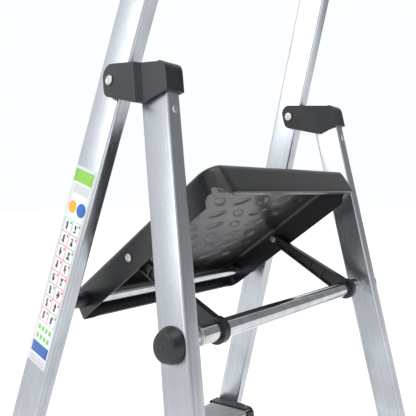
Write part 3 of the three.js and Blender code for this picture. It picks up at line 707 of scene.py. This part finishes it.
def grips(x, y):
    """Raised lozenges in staggered rows: height = smooth(1 - |a|^1.6 - |b|^1.6) in each cell.

    a and b are the distances from the cell's middle along and across a lozenge; neighbours
    lean opposite ways, and the pattern fades out before the edges of the plate."""
    row = np.floor(y / GRIP["pitch_y"])
    shifted = x / GRIP["pitch_x"] + 0.5 * (row % 2)
    cell = np.floor(shifted)
    u = (shifted - cell - 0.5) * GRIP["pitch_x"]
    v = (y / GRIP["pitch_y"] - row - 0.5) * GRIP["pitch_y"]
    lean = np.where((cell + row) % 2 > 0.5, GRIP["lean"], -GRIP["lean"])
    a = (u * np.cos(lean) + v * np.sin(lean)) / GRIP["long"]
    b = (-u * np.sin(lean) + v * np.cos(lean)) / GRIP["wide"]
    inside = np.clip(1 - np.abs(a) ** 1.6 - np.abs(b) ** 1.6, 0, 1)
    lump = inside * inside * (3 - 2 * inside)
    side = np.clip((130 * MM - np.abs(x)) / (7 * MM), 0, 1)
    rear_end = np.clip((TRAY["rear"] - 20 * MM - y) / (5 * MM), 0, 1)
    front_end = np.clip((y - TRAY["front"] - 22 * MM) / (5 * MM), 0, 1)
    return np.clip(lump * 1.6, 0, 1) * side * rear_end * front_end


# %% Plate and walls
base, inwards = tray_edge()
bend = TRAY["bend"]
COLUMNS = 211
across = np.linspace(-1, 1, COLUMNS)
rim = base + bend * inwards
plate_x = rim[:, :1] * across
plate_y = np.broadcast_to(rim[:, 1:], plate_x.shape)
plate_z = TRAY["top"] - TRAY["grip"] + TRAY["grip"] * grips(plate_x, plate_y)
# the plate rises to its full height in a narrow band along its edge
PLATE_MIDDLE, PLATE_HALF = 109 * MM, 132 * MM
outward = np.maximum(np.abs(plate_x) / rim[:, :1].max(), np.abs(plate_y - PLATE_MIDDLE) / PLATE_HALF)
edge_lift = np.clip((outward - 0.955) * 40, 0, 1)
plate_z = np.maximum(plate_z, TRAY["top"] - TRAY["grip"] * (1 - edge_lift))
plate = np.stack([plate_x, plate_y, plate_z], -1)

# the edge, once round: right side, rear, left side, front
fan = across[1:-1]
rear_line = np.stack([rim[-1, 0] * fan[::-1], np.full(COLUMNS - 2, base[-1, 1])], -1)
front_line = np.stack([rim[0, 0] * fan, np.full(COLUMNS - 2, base[0, 1])], -1)
flip = np.array([-1.0, 1.0])
loop = np.concatenate([base, rear_line, base[::-1] * flip, front_line])
loop_in = np.concatenate([inwards, np.broadcast_to([0.0, -1.0], rear_line.shape), inwards[::-1] * flip,
                          np.broadcast_to([0.0, 1.0], front_line.shape)])


def lower_edge(points):
    """Height of the wall's lower edge, and how much of the lip there is (1 all, 0 none).

    Two arches rise in it: the crossbar's seat on the side walls, and a wider one at each rear
    corner, where the strut's clip comes up: z = seat + sqrt(r^2 - dy^2)."""
    bottom = TRAY["top"] - TRAY["flange"]
    x, y = np.abs(points[:, 0]), points[:, 1]

    def arch(radius, inner_x, outer_x):
        rise = np.sqrt(np.clip(radius * radius - (y - SEAT[0]) ** 2, 0, None))
        return np.where((x > inner_x) & (x < outer_x), SEAT[1] + rise, bottom)

    clip_low = STRUT["middle"] - STRUT["thick"] / 2 - 0.6 * MM
    clip_high = STRUT["middle"] + STRUT["thick"] / 2 + 0.6 * MM + TRAY["sheet"]
    relief = STRUT["ring"] + 0.8 * MM + TRAY["sheet"]
    edge = np.maximum(arch(SEAT_RADIUS, 0.1, 1.0), arch(relief, clip_low, clip_high))
    edge = np.maximum(edge, bottom)
    on_ends = np.clip((132 * MM - x) / (3 * MM), 0, 1)
    return edge, on_ends


low, lip = lower_edge(loop)
turn = np.linspace(0, math.pi / 2, 6)
profile_in = [bend * (1 - np.sin(t)) * np.ones(len(loop)) for t in turn]
profile_z = [TRAY["top"] - bend + bend * np.cos(t) * np.ones(len(loop)) for t in turn]
roll = TRAY["roll"]
for part in np.linspace(0, 1, 12)[1:]:
    profile_in.append(np.zeros(len(loop)))
    profile_z.append((TRAY["top"] - bend) * (1 - part) + (low + roll) * part)
for t in turn[1:]:
    profile_in.append(roll * (1 - np.cos(t)) * lip)
    profile_z.append(low + roll * (1 - np.sin(t)))
profile_in.append((roll + TRAY["hem"]) * lip)
profile_z.append(low)
inset, height = np.stack(profile_in), np.stack(profile_z)
wall = np.stack([loop[:, 0] + inset * loop_in[:, 0], loop[:, 1] + inset * loop_in[:, 1], height], -1)
print("platform skin:", plate.shape[:2], "plate and", wall.shape[:2], "wall points")

# %% One skin, given its thickness
flat_uv = lambda points: points[..., :2].copy()
tray = piece("platform_tray_fine", "platform", "powder_black", POWDER, [
    (placed(plate, PLATFORM_PIVOT, TILT), (False, False), flat_uv(plate)),
    (placed(wall, PLATFORM_PIVOT, TILT), (False, True), flat_uv(wall)),
], ["platform_tray"], sharp=50)
up = np.array([0, -math.sin(TILT), math.cos(TILT)])
first = np.array(tray.data.polygons[len(plate) * 3].normal)
if first @ up < 0:
    tray.data.flip_normals()
thick = tray.modifiers.new("sheet", "SOLIDIFY")
thick.thickness, thick.offset, thick.use_even_offset = TRAY["sheet"], -1.0, False

# %% The struts' rivets through the side walls
to_strut = np.linalg.norm(strut_pivot[1:] - PLATFORM_PIVOT[1:])
strut_at = to_strut * np.array([math.cos(STRUT_LINE), math.sin(STRUT_LINE)])
face = (TRAY["half_front"] + (strut_at[0] - TRAY["front"]) / (TRAY["rear"] - TRAY["front"])
        * (TRAY["half_rear"] - TRAY["half_front"])) / MM + 0.3
near = (STRUT["middle"] + STRUT["thick"] / 2) / MM + 0.3
far = (STRUT["middle"] - STRUT["thick"] / 2) / MM - 0.3
rivet = spun([[face + 1.3, 0], [face + 1.4, 1.4], [face + 1.8, 2.1], [face + 1.5, 3.6], [face + 0.8, 4.4],
              [face, 4.6], [face, 3], [face - 2.2, 3], [face - 2.2, 5], [near, 5], [near, 3], [far, 3],
              [far, 4.6], [far - 1.6, 4.2], [far - 1.6, 0]], *strut_at, 40)
pair("strut_rivet", "strut_rivets", "zinc_steel", ZINC, [fitted(rivet, PLATFORM_PIVOT, TILT)])

# %% [markdown]
# ## Moulded parts with softened edges
#
# The caps, brackets, struts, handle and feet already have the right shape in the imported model,
# but a moulding never has a knife edge. A copy of each is merged, its flat faces are put back
# together, and a small bevel rounds every edge, which is what catches the light.

# %% Copies with rounded edges


def rounded_copy(node, body, finish, radius, sharp=32):
    """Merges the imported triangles, dissolves flat seams and bevels what is left."""
    mesh = nodes[node].data.copy()
    mesh.materials.clear()
    mesh.name = f"{node}_fine"
    work = bmesh.new()
    work.from_mesh(mesh)
    bmesh.ops.remove_doubles(work, verts=work.verts, dist=2e-6)
    bmesh.ops.dissolve_limit(work, angle_limit=math.radians(0.6), verts=work.verts, edges=work.edges)
    work.to_mesh(mesh)
    work.free()
    made = dressed(f"{node}_fine", mesh, body, finish, [node], sharp)
    bevel = made.modifiers.new("edges", "BEVEL")
    bevel.width, bevel.segments, bevel.limit_method = radius, 2, "ANGLE"
    bevel.angle_limit, bevel.use_clamp_overlap = math.radians(28), True
    weighted = made.modifiers.new("shading", "WEIGHTED_NORMAL")
    weighted.keep_sharp = False
    return made


rounded = 1
for side in ("right", "left"):
    moulded_pieces = [
        (f"hinge_cap_{side}", "rear_frame", 0.9 * MM),
        (f"strut_{side}", "struts", 0.35 * MM),
        (f"platform_spacer_{side}", "front_frame", 0.5 * MM),
        *((f"tread_bracket_{number}_{side}", "front_frame", 0.5 * MM) for number in (1, 2, 3)),
    ]
    for node, body, radius in moulded_pieces:
        rounded_copy(node, body, BLACK_PLASTIC, radius)
    rounded_copy(f"front_foot_{side}", "front_frame", RUBBER, 1.4 * MM)
    rounded_copy(f"rear_foot_{side}", "rear_frame", RUBBER, 1.4 * MM)
    rounded += len(moulded_pieces) + 2
rounded_copy("top_handle", "front_frame", BLACK_PLASTIC, 1.5 * MM)
print(rounded, "mouldings rounded")

# the screws under the caps stay as they are and only get the plated finish
for side in ("right", "left"):
    nodes[f"cap_screw_{side}"].data.materials.clear()
    nodes[f"cap_screw_{side}"].data.materials.append(ZINC)

# %% [markdown]
# ## A plain sticker
#
# The right stile carries a long white sticker. Here it is a plain one of coloured blocks: a green
# band, two round marks, two columns of outlined boxes with a small grey mark in each, two rows of
# green dots, a blue block and two bands of thin grey bars. It says nothing. Its own UV map runs
# from 0 to 1 each way.

# %% Sticker finish


def sticker_finish():
    """Every block is a mask in the sticker's own coordinates; masks are multiplied and mixed."""
    made = Finish("plain_sticker", Metallic=0.0, Coat_Roughness=0.2, Coat_Weight=0.2)
    place = made.place("UV")
    u = made.node("ShaderNodeSeparateXYZ", None, {0: place}, 0)
    v = made.node("ShaderNodeSeparateXYZ", None, {0: place}, 1)
    between = lambda value, low, high: (value > low) * (value < high)
    part = lambda value: made.maths("FRACT", value)
    round_mark = lambda x, y, cx, cy, r: (
        made.maths("SQRT", made.maths("POWER", x - cx, 2.0) + made.maths("POWER", y - cy, 2.0)) < r)
    tall = 6.6  # height of the sticker over its width
    colour = made.between(made.noise(made.place(), 90.0, 3.0), (0.80, 0.82, 0.85), (0.74, 0.76, 0.80))
    layers = [(between(v, 0.925, 0.985) * between(u, 0.0, 0.93), (0.24, 0.56, 0.06))]
    layers.append((round_mark(u, v * tall, 0.28, 0.805 * tall, 0.2), (0.80, 0.42, 0.02)))
    layers.append((round_mark(u, v * tall, 0.73, 0.805 * tall, 0.22), (0.02, 0.12, 0.42)))
    # eight rows and two columns of boxes
    grid_v, grid_u = (v - 0.215) * (8 / 0.53), (u - 0.06) * (2 / 0.88)
    in_grid = between(v, 0.215, 0.745) * between(u, 0.06, 0.94)
    fu, fv = part(grid_u), part(grid_v)
    row, column = made.maths("FLOOR", grid_v), made.maths("FLOOR", grid_u)
    chance = made.node("ShaderNodeTexWhiteNoise", {"noise_dimensions": "2D"},
                       {0: made.node("ShaderNodeCombineXYZ", None, {0: row, 1: column})})
    off_u, off_v = made.maths("ABSOLUTE", fu - 0.5), made.maths("ABSOLUTE", fv - 0.5)
    frame_line = made.maths("MAXIMUM", off_u, off_v) > 0.455
    tint = made.between(chance > 0.34, (0.10, 0.42, 0.16), (0.72, 0.10, 0.08))
    layers.append((in_grid * frame_line * 0.7, tint))
    tick = between(fu, 0.72, 0.9) * between(fv, 0.68, 0.86) * in_grid
    layers.append((tick, tint))
    wobble = made.noise(made.scaled(place, (14.0, 70.0, 1.0)), 1.0, 2.0)
    bent = made.maths("ABSOLUTE", fu - 0.44 + (wobble - 0.5) * 0.5)
    mark = (bent < 0.1) * between(fv, 0.2, 0.78) * in_grid
    layers.append((mark, (0.03, 0.03, 0.04)))
    # two rows of four dots
    dot_u = part((u - 0.12) * (4 / 0.76))
    dots = (made.maths("ABSOLUTE", dot_u - 0.5) < 0.33) * between(u, 0.12, 0.88)
    dot_rows = between(v, 0.172, 0.195) + between(v, 0.128, 0.151)
    layers.append((dots * dot_rows, (0.20, 0.55, 0.08)))
    layers.append((between(v, 0.052, 0.108) * between(u, 0.07, 0.93), (0.03, 0.12, 0.42)))
    bar_bands = between(v, 0.008, 0.042) + between(v, 0.872, 0.915)
    bars = between(part(v * 140), 0.25, 0.7) * bar_bands * between(u, 0.12, 0.88)
    layers.append((bars * 0.75, (0.25, 0.26, 0.28)))
    for mask, tint in layers:
        colour = made.between(mask, colour, tint)
    gloss = 0.34 + made.noise(made.place(), 240.0, 2.0) * 0.12
    return made.feed(Base_Color=colour, Roughness=gloss)


STICKER = sticker_finish()

# %% Sticker on the right stile's outer face
STICKER_TOP, STICKER_BOTTOM, STICKER_WIDTH = -94 * MM, -320 * MM, 34.2 * MM
sticker_front = STILE["set"] + 2.7 * MM
v = np.linspace(0, 1, 24)[:, None]
u = np.linspace(0, 1, 5)[None, :]
film = 0.18 * MM
skin = np.stack(np.broadcast_arrays(film + 0 * u + 0 * v, sticker_front + STICKER_WIDTH * u,
                                    STICKER_BOTTOM + (STICKER_TOP - STICKER_BOTTOM) * v), -1)
uv = np.stack(np.broadcast_arrays(u, v), -1)
skin = placed(splayed(skin, STILE["half"]), HINGE, STILE_LEAN)
sticker = piece("stile_sticker", "front_frame", "aluminium", STICKER, [(skin, (False, False), uv)],
                outwards=False)
if sticker.data.polygons[0].normal.x < 0:
    sticker.data.flip_normals()
film_wall = sticker.modifiers.new("film", "SOLIDIFY")
film_wall.thickness, film_wall.offset = film * 2 / 3, -1.0
print("sticker", round(STICKER_WIDTH, 4), "by", round(STICKER_TOP - STICKER_BOTTOM, 4), "m")

# %% [markdown]
# ## Floor, light and camera
#
# A plain pale floor, a bright sky on the side that the outer faces look at and a dimmer one
# behind the viewer, so that the faces turned to the viewer read as grey and the outer ones as
# nearly white. The floor gives off a little light of its own, as a lit paper sweep seems to, and
# three large soft lamps model the edges.

# %% Floor and sky
bpy.context.scene.view_settings.view_transform = "Standard"

floor_mesh = bpy.data.meshes.new("floor")
reach_out = 40.0
floor_mesh.from_pydata([(-reach_out, -reach_out, 0), (reach_out, -reach_out, 0), (reach_out, reach_out, 0),
                        (-reach_out, reach_out, 0)], [], [(0, 1, 2, 3)])
floor = bpy.data.objects.new("floor", floor_mesh)
bpy.context.scene.collection.objects.link(floor)
pale = Finish("pale_floor", Roughness=0.9, Emission_Strength=0.42)
tone = pale.between(pale.noise(pale.place(), 2.0, 2.0), (0.90, 0.90, 0.90), (0.93, 0.93, 0.93))
floor.data.materials.append(pale.feed(Base_Color=tone, Emission_Color=tone))

world = bpy.data.worlds.new("studio")
bpy.context.scene.world = world
world.use_nodes = True
sky = world.node_tree
direction = sky.nodes.new("ShaderNodeTexCoord").outputs["Generated"]
dot = sky.nodes.new("ShaderNodeVectorMath")
dot.operation = "DOT_PRODUCT"
dot.inputs[1].default_value = (0.45, -0.89, 0.10)
sky.links.new(direction, dot.inputs[0])
step = sky.nodes.new("ShaderNodeMapRange")
step.interpolation_type = "SMOOTHSTEP"
for key, value in {"From Min": -0.55, "From Max": -0.14, "To Min": 0.34, "To Max": 1.0}.items():
    step.inputs[key].default_value = value
sky.links.new(dot.outputs["Value"], step.inputs["Value"])
background = sky.nodes["Background"]
background.inputs["Color"].default_value = (0.97, 0.985, 1.0, 1)
sky.links.new(step.outputs["Result"], background.inputs["Strength"])

# %% Lamps and camera


def lamp(name, place, aim, size, watts, colour=(1, 1, 1)):
    """A square area lamp at place, pointing at aim."""
    data = bpy.data.lights.new(name, "AREA")
    data.size, data.energy, data.color = size, watts, colour
    made = bpy.data.objects.new(name, data)
    made.location = place
    made.rotation_euler = (Vector(aim) - Vector(place)).to_track_quat("-Z", "Y").to_euler()
    bpy.context.scene.collection.objects.link(made)
    return made


centre = (0.0, 0.05, 1.0)
lamp("key", (2.6, -1.2, 2.6), centre, 1.6, 22)
lamp("top", (0.2, 0.6, 3.2), centre, 1.4, 14)
lamp("low_fill", (0.9, 2.2, 0.5), centre, 1.2, 4, (1.0, 0.97, 0.93))

camera = bpy.data.objects.new("camera", bpy.data.cameras.new("camera"))
bpy.context.scene.collection.objects.link(camera)
VIEW_PLACE = Vector((0.5286, 0.4841, 1.1745))
VIEW_AZIMUTH, VIEW_DROP, VIEW_ROLL = math.radians(39.99), math.radians(1.37), math.radians(-0.68)
level = math.cos(VIEW_DROP)
look = Vector((-level * math.cos(VIEW_AZIMUTH), -level * math.sin(VIEW_AZIMUTH), -math.sin(VIEW_DROP)))
turn_to = look.to_track_quat("-Z", "Y").to_matrix().to_4x4()
camera.matrix_world = Matrix.Translation(VIEW_PLACE) @ turn_to @ Matrix.Rotation(VIEW_ROLL, 4, "Z")
camera.data.lens, camera.data.sensor_width = 45.37, 36.0
camera.data.clip_start, camera.data.clip_end = 0.02, 120.0
bpy.context.scene.camera = camera
